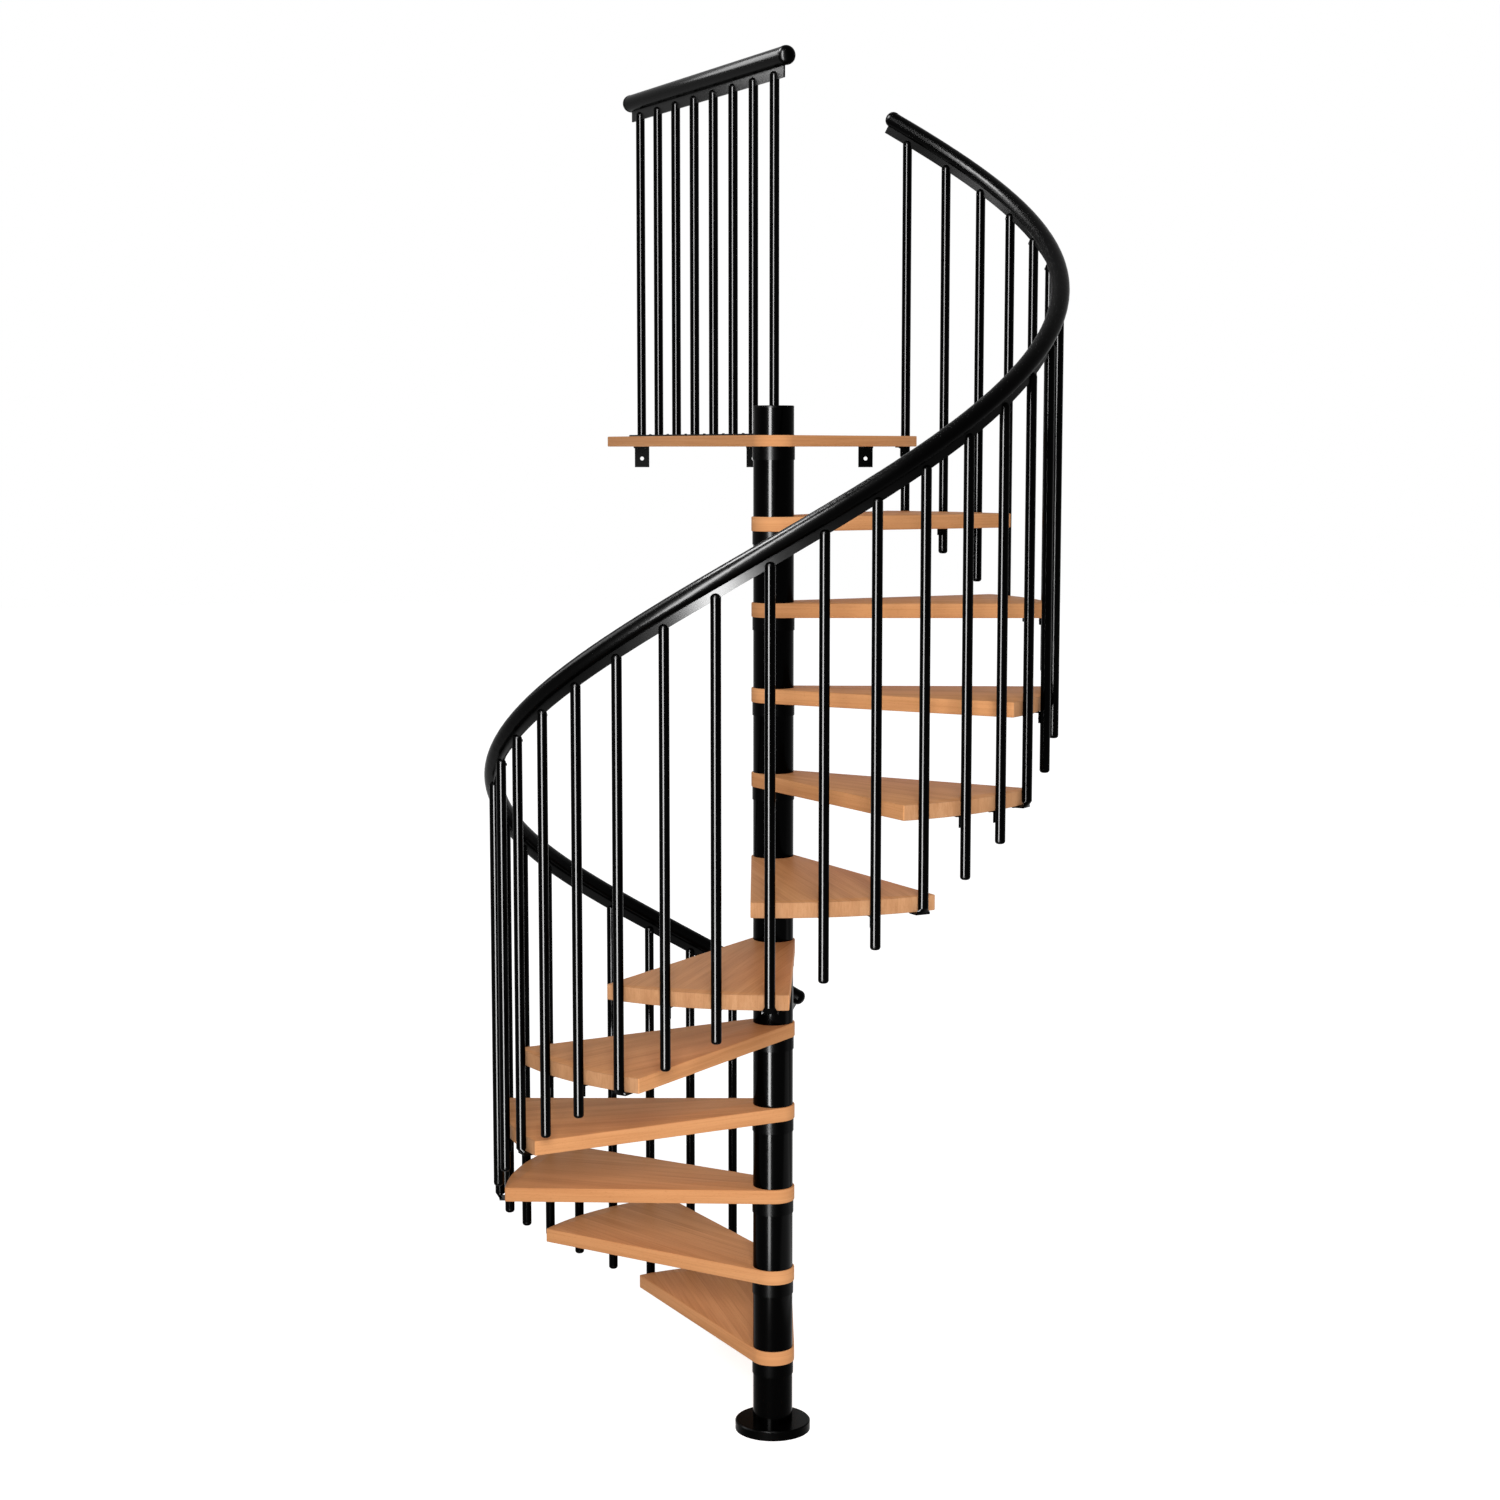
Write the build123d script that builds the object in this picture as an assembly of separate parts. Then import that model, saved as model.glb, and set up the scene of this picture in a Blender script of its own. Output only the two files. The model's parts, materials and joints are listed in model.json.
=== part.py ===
from build123d import *
from math import asin, atan2, cos, degrees, hypot, pi, radians, sin, sqrt, tan
import os

os.makedirs("parts", exist_ok=True)

# A spiral staircase around a steel column: eleven wooden treads and a landing board, black metal work.
# The origin is the centre of the base plate's underside, on the floor, with +Z up.
# Angles are counted from the back (+Y), the way the stair climbs: anticlockwise seen from above.
# All lengths are millimetres and all angles are degrees.

# The climb
FIRST_RISE = 242.0
RISE = 235.0
STEP_TURN = 30.0
TREAD_COUNT = 11

# Wooden treads
TREAD_RADIUS = 755.0
TREAD_THICKNESS = 40.0
HUB_RADIUS = 61.0
TREAD_LAP = 3.7
TREAD_CORNER = 4.0
EASED_EDGE = 2.5

# Column
POLE_RADIUS = 30.0
POLE_WALL = 4.0
SLEEVE_RADIUS = 56.0
SLEEVE_WALL = 3.0
COLLAR_WALL = 2.0
COLLAR_HEIGHT = 36.0
COLLAR_TOP = 6.0
COLUMN_ABOVE_LANDING = 80.0
COLUMN_CAP_PLATE = 6.0
COLUMN_CAP_PLUG = 14.0
COLUMN_CAP_EASE = 1.5
PLATE_RADIUS = 95.0
PLATE_THICKNESS = 10.0
ANCHOR_RADIUS = 6.5
ANCHOR_CIRCLE = 74.0
ANCHOR_COUNT = 4
COVER_RADIUS = 106.5
COVER_HEIGHT = 27.0
COVER_WALL = 2.5
COVER_BEVEL = 3.0
SLIDING_GAP = 0.3

# Stair railing, whose tubes, strip and handrail are all centred on one cylinder
TUBE_RADIUS = 13.5
TUBE_WALL = 2.0
DOME_HEIGHT = 12.0
LOWER_CAP_HEIGHT = 12.0
LOWER_CAP_ROUND = 8.0
PLUG_LENGTH = 18.0
TUBE_TOP = 1085.6
TUBE_BOTTOM = -46.2
TUBES_PER_STEP = 3
TUBE_TO_TREAD = 3.5
FOOT_DROP = 12.5
FOOT_WIDTH = 41.0
FOOT_THICKNESS = 5.0
FOOT_REACH = 48.0
RAIL_CENTRE = 1120.5
RAIL_HALF_WIDTH = 25.5
RAIL_HALF_HEIGHT = 22.0
RAIL_START = -5.0
RAIL_END = 333.4
RAIL_GROOVE = 4.0
STRIP_BOTTOM = 1069.5
STRIP_THICKNESS = 5.0
STRIP_START = -5.6
STRIP_END = 333.8
RAIL_CAP_LIP = 0.8
RAIL_CAP_RIM = 4.0
RAIL_CAP_DOME = 19.0
CAP_CUT_TURN = 4.0
CAP_PATH_TURN = 1.0
SLOT_GAP = 0.4
GROOVE_GAP = 0.3
FLOOR_FOOT_RADIUS = 32.0
FLOOR_FOOT_THICKNESS = 6.0

# Angle brackets that hold the straight tubes to the treads
BRACKET_WIDTH = 18.0
BRACKET_THICKNESS = 3.0
BRACKET_DROP = 30.0
BRACKET_REACH = 34.0

# Landing board and the floor brackets at its back edge
BOARD_RISE = 221.5
BOARD_THICKNESS = 31.0
BOARD_BACK = 1022.0
BOARD_LEFT_TURN = 24.5
BOARD_RIGHT_X = 386.0
BOARD_ARC_END = -22.0
BOARD_BACK_CORNER = 6.0
FLOOR_BRACKET_WIDTH = 45.0
FLOOR_BRACKET_DROP = 64.0
FLOOR_BRACKET_REACH = 60.0
FLOOR_BRACKET_THICKNESS = 5.0
FLOOR_BRACKET_SPACING = 349.0
FLOOR_BRACKET_COUNT = 3
FLOOR_HOLE_RADIUS = 6.0
FLOOR_HOLE_DROP = 37.0

# Landing railing: a straight row of tubes
LANDING_TUBES = 8
LANDING_TUBE_SPACING = 137.0
LANDING_RAIL_TURN = 25.9
LANDING_RAIL_OFFSET = 37.6
LANDING_FIRST_TUBE = 76.5
LANDING_TUBE_TOP = 984.0
LANDING_STRIP_BOTTOM = 959.5
LANDING_RAIL_CENTRE = 1016.5
LANDING_RAIL_RADIUS = 25.5
LANDING_RAIL_END = 70.0
LANDING_STRIP_END = 62.0
BASE_STRIP_WIDTH = 30.0
BASE_STRIP_THICKNESS = 5.0
BASE_STRIP_NEAR_END = 19.5
BASE_STRIP_FAR_END = 66.5

# Angles of a whole circle and of its quarter
FULL_TURN = 360.0
QUARTER_TURN = 90.0

# Sizes worked out from those above
RAIL_CIRCLE = TREAD_RADIUS + TUBE_TO_TREAD + TUBE_RADIUS
BORE_RADIUS = POLE_RADIUS + SLIDING_GAP
COLLAR_RADIUS = SLEEVE_RADIUS + SLIDING_GAP + COLLAR_WALL
HALF_END_ANGLE = STEP_TURN / 2 + TREAD_LAP
FLARE = HALF_END_ANGLE - degrees(asin(HUB_RADIUS / TREAD_RADIUS))
TREAD_TOPS = [FIRST_RISE + RISE * step for step in range(TREAD_COUNT)]
BOARD_TOP = TREAD_TOPS[-1] + BOARD_RISE
BOARD_UNDERSIDE = BOARD_TOP - BOARD_THICKNESS
COLUMN_TOP = BOARD_TOP + COLUMN_ABOVE_LANDING
PITCH = RISE * FULL_TURN / STEP_TURN
SLOPE = degrees(atan2(PITCH, 2 * pi * RAIL_CIRCLE))
PLUG_RADIUS = TUBE_RADIUS - TUBE_WALL - SLIDING_GAP
TUBE_TURN = STEP_TURN / TUBES_PER_STEP
STRIP_TOP = RAIL_GROOVE - RAIL_HALF_HEIGHT - GROOVE_GAP
STRIP_FOOT = (STRIP_BOTTOM - RAIL_CENTRE) * cos(radians(SLOPE))


def climb(turn):
    """Height of the line through the tread tops at a turn."""
    return FIRST_RISE - RISE + RISE * turn / STEP_TURN


def place(turn, height=0.0):
    """Turns a shape drawn towards +Y about the column's axis and lifts it."""
    return Pos(0, 0, height) * Rot(0, 0, turn)


def ring(outer, inner, low, high):
    """A plain ring about the column's axis."""
    height = high - low
    body = Cylinder(outer, height, align=(Align.CENTER, Align.CENTER, Align.MIN))
    body -= Cylinder(inner, height, align=(Align.CENTER, Align.CENTER, Align.MIN))
    return Pos(0, 0, low) * body


def turned(points):
    """A solid of revolution about the column's axis from a radius and height outline."""
    outline = Plane.XZ * make_face(Polyline(*points, close=True))
    return revolve(outline, Axis.Z)


def block(low, high):
    """A box between two corners."""
    size = [high[axis] - low[axis] for axis in range(3)]
    return Pos(*low) * Box(*size, align=(Align.MIN, Align.MIN, Align.MIN))


def save(name, solids):
    """Writes one node; like pieces that don't touch share it."""
    shape = Compound(children=list(solids)) if isinstance(solids, list) else solids
    export_step(shape, f"parts/{name}.step")


# Column


def make_base_plate():
    plate = Cylinder(PLATE_RADIUS, PLATE_THICKNESS, align=(Align.CENTER, Align.CENTER, Align.MIN))
    for number in range(ANCHOR_COUNT):
        spot = place(FULL_TURN * (number + 0.5) / ANCHOR_COUNT) * Pos(0, ANCHOR_CIRCLE, 0)
        plate -= spot * Cylinder(ANCHOR_RADIUS, 3 * PLATE_THICKNESS)
    return plate


def make_base_cover():
    hole = SLEEVE_RADIUS + SLIDING_GAP
    inside = COVER_RADIUS - COVER_WALL
    roof = COVER_HEIGHT - COVER_WALL
    return turned([
        (COVER_RADIUS, 0),
        (COVER_RADIUS, COVER_HEIGHT - COVER_BEVEL),
        (COVER_RADIUS - COVER_BEVEL, COVER_HEIGHT),
        (hole, COVER_HEIGHT),
        (hole, roof),
        (inside, roof),
        (inside, 0),
    ])


def make_sleeve(low, high):
    return ring(SLEEVE_RADIUS, SLEEVE_RADIUS - SLEEVE_WALL, low, high)


def make_collar(top):
    """A cup under a tread that the sleeve below slides up into."""
    inside = SLEEVE_RADIUS + SLIDING_GAP
    roof = top - COLLAR_TOP
    return turned([
        (BORE_RADIUS, top),
        (COLLAR_RADIUS, top),
        (COLLAR_RADIUS, top - COLLAR_HEIGHT),
        (inside, top - COLLAR_HEIGHT),
        (inside, roof),
        (BORE_RADIUS, roof),
    ])


def make_column_cap():
    plug = SLEEVE_RADIUS - SLEEVE_WALL - SLIDING_GAP
    under = COLUMN_TOP - COLUMN_CAP_PLATE
    return turned([
        (0, COLUMN_TOP),
        (SLEEVE_RADIUS - COLUMN_CAP_EASE, COLUMN_TOP),
        (SLEEVE_RADIUS, COLUMN_TOP - COLUMN_CAP_EASE),
        (SLEEVE_RADIUS, under),
        (plug, under),
        (plug, under - COLUMN_CAP_PLUG),
        (0, under - COLUMN_CAP_PLUG),
    ])


# Treads and landing board


def on_hub(turn):
    """The point of the hub's circle where an edge that leaves at this turn touches it."""
    side = 1 if turn < 0 else -1
    return (side * HUB_RADIUS * cos(radians(turn)), -HUB_RADIUS * sin(radians(abs(turn))))


def on_circle(radius, turn):
    return (-radius * sin(radians(turn)), radius * cos(radians(turn)))


def make_tread():
    """One tread, pointing to +Y, with its underside at zero."""
    right_end = on_circle(TREAD_RADIUS, -HALF_END_ANGLE)
    left_end = on_circle(TREAD_RADIUS, HALF_END_ANGLE)
    with BuildPart() as tread:
        with BuildSketch() as outline:
            with BuildLine():
                Line(on_hub(-FLARE), right_end)
                ThreePointArc(right_end, (0, TREAD_RADIUS), left_end)
                Line(left_end, on_hub(FLARE))
                ThreePointArc(on_hub(FLARE), (0, -HUB_RADIUS), on_hub(-FLARE))
            make_face()
            fillet(outline.vertices().sort_by(Axis.Y)[-2:], TREAD_CORNER)
        extrude(amount=TREAD_THICKNESS)
        faces = tread.faces().sort_by(Axis.Z)
        chamfer(faces[0].edges() + faces[-1].edges(), EASED_EDGE)
        Cylinder(BORE_RADIUS, 3 * TREAD_THICKNESS, mode=Mode.SUBTRACT)
    return tread.part


def board_side_end():
    """Where the left edge of the landing board reaches its back edge."""
    start_x, start_y = on_hub(BOARD_LEFT_TURN)
    return (start_x - (BOARD_BACK - start_y) * tan(radians(BOARD_LEFT_TURN)), BOARD_BACK)


def make_landing_board():
    right_turn = STEP_TURN / 2 + FLARE
    front_corner = on_circle(TREAD_RADIUS, -(STEP_TURN / 2 + HALF_END_ANGLE))
    arc_middle = on_circle(TREAD_RADIUS, -(STEP_TURN + HALF_END_ANGLE - 10) + TREAD_LAP)
    arc_end = on_circle(TREAD_RADIUS, BOARD_ARC_END)
    back_right = (BOARD_RIGHT_X, BOARD_BACK)
    with BuildPart() as board:
        with BuildSketch() as outline:
            with BuildLine():
                Line(on_hub(-right_turn), front_corner)
                RadiusArc(front_corner, arc_end, TREAD_RADIUS)
                Line(arc_end, back_right)
                Line(back_right, board_side_end())
                Line(board_side_end(), on_hub(BOARD_LEFT_TURN))
                ThreePointArc(on_hub(BOARD_LEFT_TURN), (0, -HUB_RADIUS), on_hub(-right_turn))
            make_face()
            fillet(outline.vertices().sort_by_distance(front_corner)[0], TREAD_CORNER)
            fillet(outline.vertices().sort_by(Axis.Y)[-2:], BOARD_BACK_CORNER)
        extrude(amount=BOARD_THICKNESS)
        faces = board.faces().sort_by(Axis.Z)
        chamfer(faces[0].edges() + faces[-1].edges(), EASED_EDGE)
        Cylinder(BORE_RADIUS, 3 * BOARD_THICKNESS, mode=Mode.SUBTRACT)
    return Pos(0, 0, BOARD_UNDERSIDE) * board.part


# Stair railing


def rail_path(start, end):
    """The line of the handrail's centre between two turns."""
    path = Helix(PITCH, climb(end) - climb(start), RAIL_CIRCLE)
    return place(start + QUARTER_TURN, climb(start) + RAIL_CENTRE) * path


def across(path, at_end=False):
    """The plane square to the rail at one end: its x points to the column and its y up."""
    spot = path @ (1 if at_end else 0)
    inward = Vector(-spot.X, -spot.Y, 0).normalized()
    return Plane(origin=spot, x_dir=inward, z_dir=path % (1 if at_end else 0))


def strip_profile(gap=0.0):
    """The flat bar's section below the rail's centre, grown all round by a gap."""
    height = STRIP_TOP - STRIP_FOOT + 2 * gap
    middle = (STRIP_TOP + STRIP_FOOT) / 2
    return Pos(0, middle) * Rectangle(STRIP_THICKNESS + 2 * gap, height)


def make_strip(start, end, gap=0.0):
    path = rail_path(start, end)
    return sweep(across(path) * strip_profile(gap), path=path, is_frenet=True)


def make_handrail():
    """An oval rail with a groove below that the flat bar fits."""
    path = rail_path(RAIL_START, RAIL_END)
    section = Ellipse(RAIL_HALF_WIDTH, RAIL_HALF_HEIGHT) - strip_profile(GROOVE_GAP)
    return sweep(across(path) * section, path=path, is_frenet=True)


def make_rail_cap(plane, outward):
    """A domed end cap with a low rim, cut free of the flat bar."""
    wide = RAIL_HALF_WIDTH + RAIL_CAP_LIP
    tall = RAIL_HALF_HEIGHT + RAIL_CAP_LIP
    rim = extrude(Ellipse(wide, tall), amount=RAIL_CAP_RIM)
    ball = scale(Sphere(1), by=(wide, tall, RAIL_CAP_DOME))
    dome = split(ball, bisect_by=Plane.XY, keep=Keep.TOP)
    cap = rim + Pos(0, 0, RAIL_CAP_RIM) * dome
    if not outward:
        cap = mirror(cap, about=Plane.XY)
    return plane * cap


def make_rail_caps():
    low_path = rail_path(RAIL_START, RAIL_START + CAP_PATH_TURN)
    high_path = rail_path(RAIL_END - CAP_PATH_TURN, RAIL_END)
    low = make_rail_cap(across(low_path), outward=False)
    high = make_rail_cap(across(high_path, at_end=True), outward=True)
    low -= make_strip(RAIL_START - CAP_CUT_TURN, RAIL_START + CAP_PATH_TURN, GROOVE_GAP)
    high -= make_strip(RAIL_END - CAP_PATH_TURN, RAIL_END + CAP_CUT_TURN, GROOVE_GAP)
    return [low, high]


def top_slot():
    """The sloping slot in a tube's top that the flat bar passes through."""
    section = Rectangle(STRIP_THICKNESS + 2 * SLOT_GAP, 4 * TUBE_RADIUS, align=(Align.CENTER, Align.MIN))
    bar = extrude(Plane.YZ * section, amount=3 * TUBE_RADIUS, both=True)
    return Pos(0, RAIL_CIRCLE, STRIP_BOTTOM - SLOT_GAP / cos(radians(SLOPE))) * Rot(0, SLOPE, 0) * bar


def make_dome_cap(plug_length):
    """A plastic end cap: a dome on a plug that fills the tube's end."""
    dome = split(scale(Sphere(1), by=(TUBE_RADIUS, TUBE_RADIUS, DOME_HEIGHT)), bisect_by=Plane.XY, keep=Keep.TOP)
    plug = Cylinder(PLUG_RADIUS, plug_length, align=(Align.CENTER, Align.CENTER, Align.MAX))
    return dome + plug


def make_lower_cap():
    """The cap below a straight tube: a flat foot with a rounded rim, on a plug."""
    foot = Cylinder(TUBE_RADIUS, LOWER_CAP_HEIGHT, align=(Align.CENTER, Align.CENTER, Align.MAX))
    foot = fillet(foot.edges().sort_by(Axis.Z)[0], LOWER_CAP_ROUND)
    plug = Cylinder(PLUG_RADIUS, PLUG_LENGTH, align=(Align.CENTER, Align.CENTER, Align.MIN))
    return foot + plug


def make_tube(low, high):
    body = Cylinder(TUBE_RADIUS, high - low, align=(Align.CENTER, Align.CENTER, Align.MIN))
    body -= Cylinder(TUBE_RADIUS - TUBE_WALL, high - low, align=(Align.CENTER, Align.CENTER, Align.MIN))
    return Pos(0, RAIL_CIRCLE, low) * body


def make_straight_tube(low=TUBE_BOTTOM + LOWER_CAP_HEIGHT):
    return make_tube(low, TUBE_TOP - DOME_HEIGHT) - top_slot()


def make_bent_tube():
    """A tube whose lower end is pressed flat and folded in under its tread."""
    underside = -TREAD_THICKNESS
    bend = underside + FOOT_DROP
    fold = RAIL_CIRCLE
    tube = make_tube(bend, TUBE_TOP - DOME_HEIGHT)
    round_end = Plane((0, RAIL_CIRCLE, bend)) * Circle(TUBE_RADIUS)
    flat_end = Plane((0, fold, underside - FOOT_THICKNESS / 2), x_dir=(1, 0, 0), z_dir=(0, 1, 0))
    flat_end *= Rectangle(FOOT_WIDTH, FOOT_THICKNESS)
    pressed = loft([round_end, flat_end])
    tab = block(
        (-FOOT_WIDTH / 2, fold - FOOT_REACH, underside - FOOT_THICKNESS),
        (FOOT_WIDTH / 2, fold, underside),
    )
    tab = fillet(tab.edges().filter_by(Axis.Z).sort_by(Axis.Y)[:2], FOOT_WIDTH / 2 - 1)
    return tube + pressed + tab - top_slot()


def straight_turns():
    """Turns of the straight tubes that hang beside the treads."""
    turns = [TUBE_TURN * number for number in range(1, TREAD_COUNT * TUBES_PER_STEP)]
    return [turn for turn in turns if turn % STEP_TURN]


def bent_turns():
    return [STEP_TURN * (step + 1) for step in range(TREAD_COUNT)]


def make_bracket():
    """An angle bracket, with the underside that it is screwed to at zero."""
    face = RAIL_CIRCLE - TUBE_RADIUS - SLIDING_GAP
    flat = block(
        (-BRACKET_WIDTH / 2, face - BRACKET_REACH, -BRACKET_THICKNESS),
        (BRACKET_WIDTH / 2, face, 0),
    )
    upright = block(
        (-BRACKET_WIDTH / 2, face - BRACKET_THICKNESS, -BRACKET_DROP),
        (BRACKET_WIDTH / 2, face, -BRACKET_THICKNESS),
    )
    return flat + upright


def make_brackets():
    bracket = make_bracket()
    made = []
    for turn in straight_turns():
        step = int(turn // STEP_TURN)
        made.append(place(turn, TREAD_TOPS[step] - TREAD_THICKNESS) * bracket)
    made.append(place(STEP_TURN * TREAD_COUNT, BOARD_UNDERSIDE) * bracket)
    return made


def make_floor_foot():
    foot = Cylinder(FLOOR_FOOT_RADIUS, FLOOR_FOOT_THICKNESS, align=(Align.CENTER, Align.CENTER, Align.MIN))
    return Pos(0, RAIL_CIRCLE, 0) * foot


# Floor brackets under the landing board's back edge


def make_floor_bracket(middle):
    half = FLOOR_BRACKET_WIDTH / 2
    flat = block(
        (middle - half, BOARD_BACK - FLOOR_BRACKET_REACH, BOARD_UNDERSIDE - FLOOR_BRACKET_THICKNESS),
        (middle + half, BOARD_BACK, BOARD_UNDERSIDE),
    )
    upright = block(
        (middle - half, BOARD_BACK - FLOOR_BRACKET_THICKNESS, BOARD_UNDERSIDE - FLOOR_BRACKET_DROP),
        (middle + half, BOARD_BACK, BOARD_UNDERSIDE - FLOOR_BRACKET_THICKNESS),
    )
    hole = Cylinder(FLOOR_HOLE_RADIUS, 4 * FLOOR_BRACKET_THICKNESS, rotation=(90, 0, 0))
    return flat + upright - Pos(middle, BOARD_BACK, BOARD_UNDERSIDE - FLOOR_HOLE_DROP) * hole


def make_floor_brackets():
    centre = (board_side_end()[0] + BOARD_RIGHT_X) / 2
    first = centre - FLOOR_BRACKET_SPACING * (FLOOR_BRACKET_COUNT - 1) / 2
    return [make_floor_bracket(first + FLOOR_BRACKET_SPACING * n) for n in range(FLOOR_BRACKET_COUNT)]


# Landing railing, drawn along +Y and then turned and set on the board


def landing_place():
    return place(LANDING_RAIL_TURN, BOARD_TOP) * Pos(LANDING_RAIL_OFFSET, 0, 0)


def landing_row():
    last = LANDING_FIRST_TUBE + LANDING_TUBE_SPACING * (LANDING_TUBES - 1)
    return LANDING_FIRST_TUBE, last


def landing_bar(gap=0.0):
    """The flat bar's section across the row, below the rail."""
    top = LANDING_RAIL_CENTRE - LANDING_RAIL_RADIUS + RAIL_GROOVE - GROOVE_GAP
    return block_section(STRIP_THICKNESS + 2 * gap, LANDING_STRIP_BOTTOM - gap, top + gap)


def block_section(width, low, high):
    return Pos(0, (low + high) / 2) * Rectangle(width, high - low)


def along_row(section, low, high):
    """Runs a section, drawn with its height upwards, along the row from low to high."""
    return extrude(Plane((0, low, 0), x_dir=(-1, 0, 0), z_dir=(0, 1, 0)) * section, amount=high - low)


def make_landing_strip(gap=0.0):
    first, last = landing_row()
    return along_row(landing_bar(gap), first - LANDING_STRIP_END, last + LANDING_STRIP_END)


def make_landing_handrail():
    first, last = landing_row()
    section = Pos(0, LANDING_RAIL_CENTRE) * Circle(LANDING_RAIL_RADIUS) - landing_bar(GROOVE_GAP)
    return along_row(section, first - LANDING_RAIL_END, last + LANDING_RAIL_END)


def make_landing_rail_caps():
    first, last = landing_row()
    radius = LANDING_RAIL_RADIUS + RAIL_CAP_LIP
    rim = Cylinder(radius, RAIL_CAP_RIM, align=(Align.CENTER, Align.CENTER, Align.MIN))
    ball = scale(Sphere(1), by=(radius, radius, RAIL_CAP_DOME))
    cap = rim + Pos(0, 0, RAIL_CAP_RIM) * split(ball, bisect_by=Plane.XY, keep=Keep.TOP)
    near = Plane((0, first - LANDING_RAIL_END, LANDING_RAIL_CENTRE), x_dir=(1, 0, 0), z_dir=(0, -1, 0))
    far = Plane((0, last + LANDING_RAIL_END, LANDING_RAIL_CENTRE), x_dir=(1, 0, 0), z_dir=(0, 1, 0))
    return [near * cap, far * cap]


def make_landing_tubes():
    """The row's tubes and their slotted end caps."""
    clear = make_landing_strip(SLOT_GAP)
    low = BASE_STRIP_THICKNESS
    high = LANDING_TUBE_TOP - DOME_HEIGHT
    tube = Pos(0, -RAIL_CIRCLE, 0) * make_tube(low, high)
    cap = Pos(0, 0, high) * make_dome_cap(PLUG_LENGTH)
    spots = [Pos(0, LANDING_FIRST_TUBE + LANDING_TUBE_SPACING * n, 0) for n in range(LANDING_TUBES)]
    tubes = [landing_place() * (spot * tube - clear) for spot in spots]
    caps = [landing_place() * (spot * cap - clear) for spot in spots]
    return tubes, caps


def make_base_strip():
    first, last = landing_row()
    return block(
        (-BASE_STRIP_WIDTH / 2, first - BASE_STRIP_NEAR_END, 0),
        (BASE_STRIP_WIDTH / 2, last + BASE_STRIP_FAR_END, BASE_STRIP_THICKNESS),
    )


# Column nodes
save("base_plate", make_base_plate())
save("base_cover", make_base_cover())
pole_top = COLUMN_TOP - COLUMN_CAP_PLATE - COLUMN_CAP_PLUG
save("centre_pole", ring(POLE_RADIUS, POLE_RADIUS - POLE_WALL, PLATE_THICKNESS, pole_top))
undersides = [top - TREAD_THICKNESS for top in TREAD_TOPS] + [BOARD_UNDERSIDE]
sleeve_feet = [PLATE_THICKNESS] + TREAD_TOPS
save("column_sleeves", [make_sleeve(low, high - COLLAR_TOP) for low, high in zip(sleeve_feet, undersides)])
save("column_collars", [make_collar(top) for top in undersides])
save("top_sleeve", make_sleeve(BOARD_TOP, COLUMN_TOP - COLUMN_CAP_PLATE))
save("column_cap", make_column_cap())

# Tread and board nodes
tread = make_tread()
for step, top in enumerate(TREAD_TOPS):
    middle = STEP_TURN * (step + 0.5)
    save(f"tread_{step + 1:02d}", place(middle, top - TREAD_THICKNESS) * tread)
save("landing_board", make_landing_board())
save("floor_brackets", make_floor_brackets())

# Stair railing nodes
save("handrail", make_handrail())
save("handrail_strip", make_strip(STRIP_START, STRIP_END))
save("handrail_caps", make_rail_caps())
bent = make_bent_tube()
straight = make_straight_tube()
top_cap = Pos(0, RAIL_CIRCLE, TUBE_TOP - DOME_HEIGHT) * make_dome_cap(PLUG_LENGTH) - top_slot()
lower_cap = Pos(0, RAIL_CIRCLE, TUBE_BOTTOM + LOWER_CAP_HEIGHT) * make_lower_cap()
save("bent_balusters", [place(turn, climb(turn)) * bent for turn in bent_turns()])
save("straight_balusters", [place(turn, climb(turn)) * straight for turn in straight_turns()])
save("first_baluster", make_straight_tube(low=FLOOR_FOOT_THICKNESS))
save("first_baluster_foot", make_floor_foot())
all_turns = [0] + sorted(straight_turns() + bent_turns())
save("baluster_top_caps", [place(turn, climb(turn)) * top_cap for turn in all_turns])
save("baluster_lower_caps", [place(turn, climb(turn)) * lower_cap for turn in straight_turns()])
save("baluster_brackets", make_brackets())

# Landing railing nodes
landing_tubes, landing_caps = make_landing_tubes()
save("landing_balusters", landing_tubes)
save("landing_baluster_caps", landing_caps)
save("landing_handrail", landing_place() * make_landing_handrail())
save("landing_rail_strip", landing_place() * make_landing_strip())
save("landing_handrail_caps", [landing_place() * cap for cap in make_landing_rail_caps()])
save("landing_base_strip", landing_place() * make_base_strip())
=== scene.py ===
import json
from math import asin, atan2, cos, degrees, radians, sin, tan

import bmesh
import bpy
from mathutils import Matrix, Vector
from mathutils.geometry import tessellate_polygon

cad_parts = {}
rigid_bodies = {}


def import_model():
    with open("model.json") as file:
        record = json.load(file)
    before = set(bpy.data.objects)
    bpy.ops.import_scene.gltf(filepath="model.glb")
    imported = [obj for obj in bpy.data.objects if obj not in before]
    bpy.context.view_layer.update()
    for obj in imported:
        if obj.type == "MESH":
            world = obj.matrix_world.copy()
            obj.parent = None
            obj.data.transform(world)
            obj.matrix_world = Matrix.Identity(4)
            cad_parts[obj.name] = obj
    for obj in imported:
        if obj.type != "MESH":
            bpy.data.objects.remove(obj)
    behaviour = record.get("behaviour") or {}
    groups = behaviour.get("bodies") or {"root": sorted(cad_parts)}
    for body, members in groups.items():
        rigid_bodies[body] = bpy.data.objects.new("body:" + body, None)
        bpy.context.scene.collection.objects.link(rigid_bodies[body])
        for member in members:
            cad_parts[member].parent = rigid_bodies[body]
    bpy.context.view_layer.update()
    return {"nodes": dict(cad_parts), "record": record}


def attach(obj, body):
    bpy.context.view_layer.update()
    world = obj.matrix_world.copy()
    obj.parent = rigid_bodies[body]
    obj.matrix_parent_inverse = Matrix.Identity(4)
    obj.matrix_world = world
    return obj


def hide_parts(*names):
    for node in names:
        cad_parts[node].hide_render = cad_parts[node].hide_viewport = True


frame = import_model()
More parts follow.
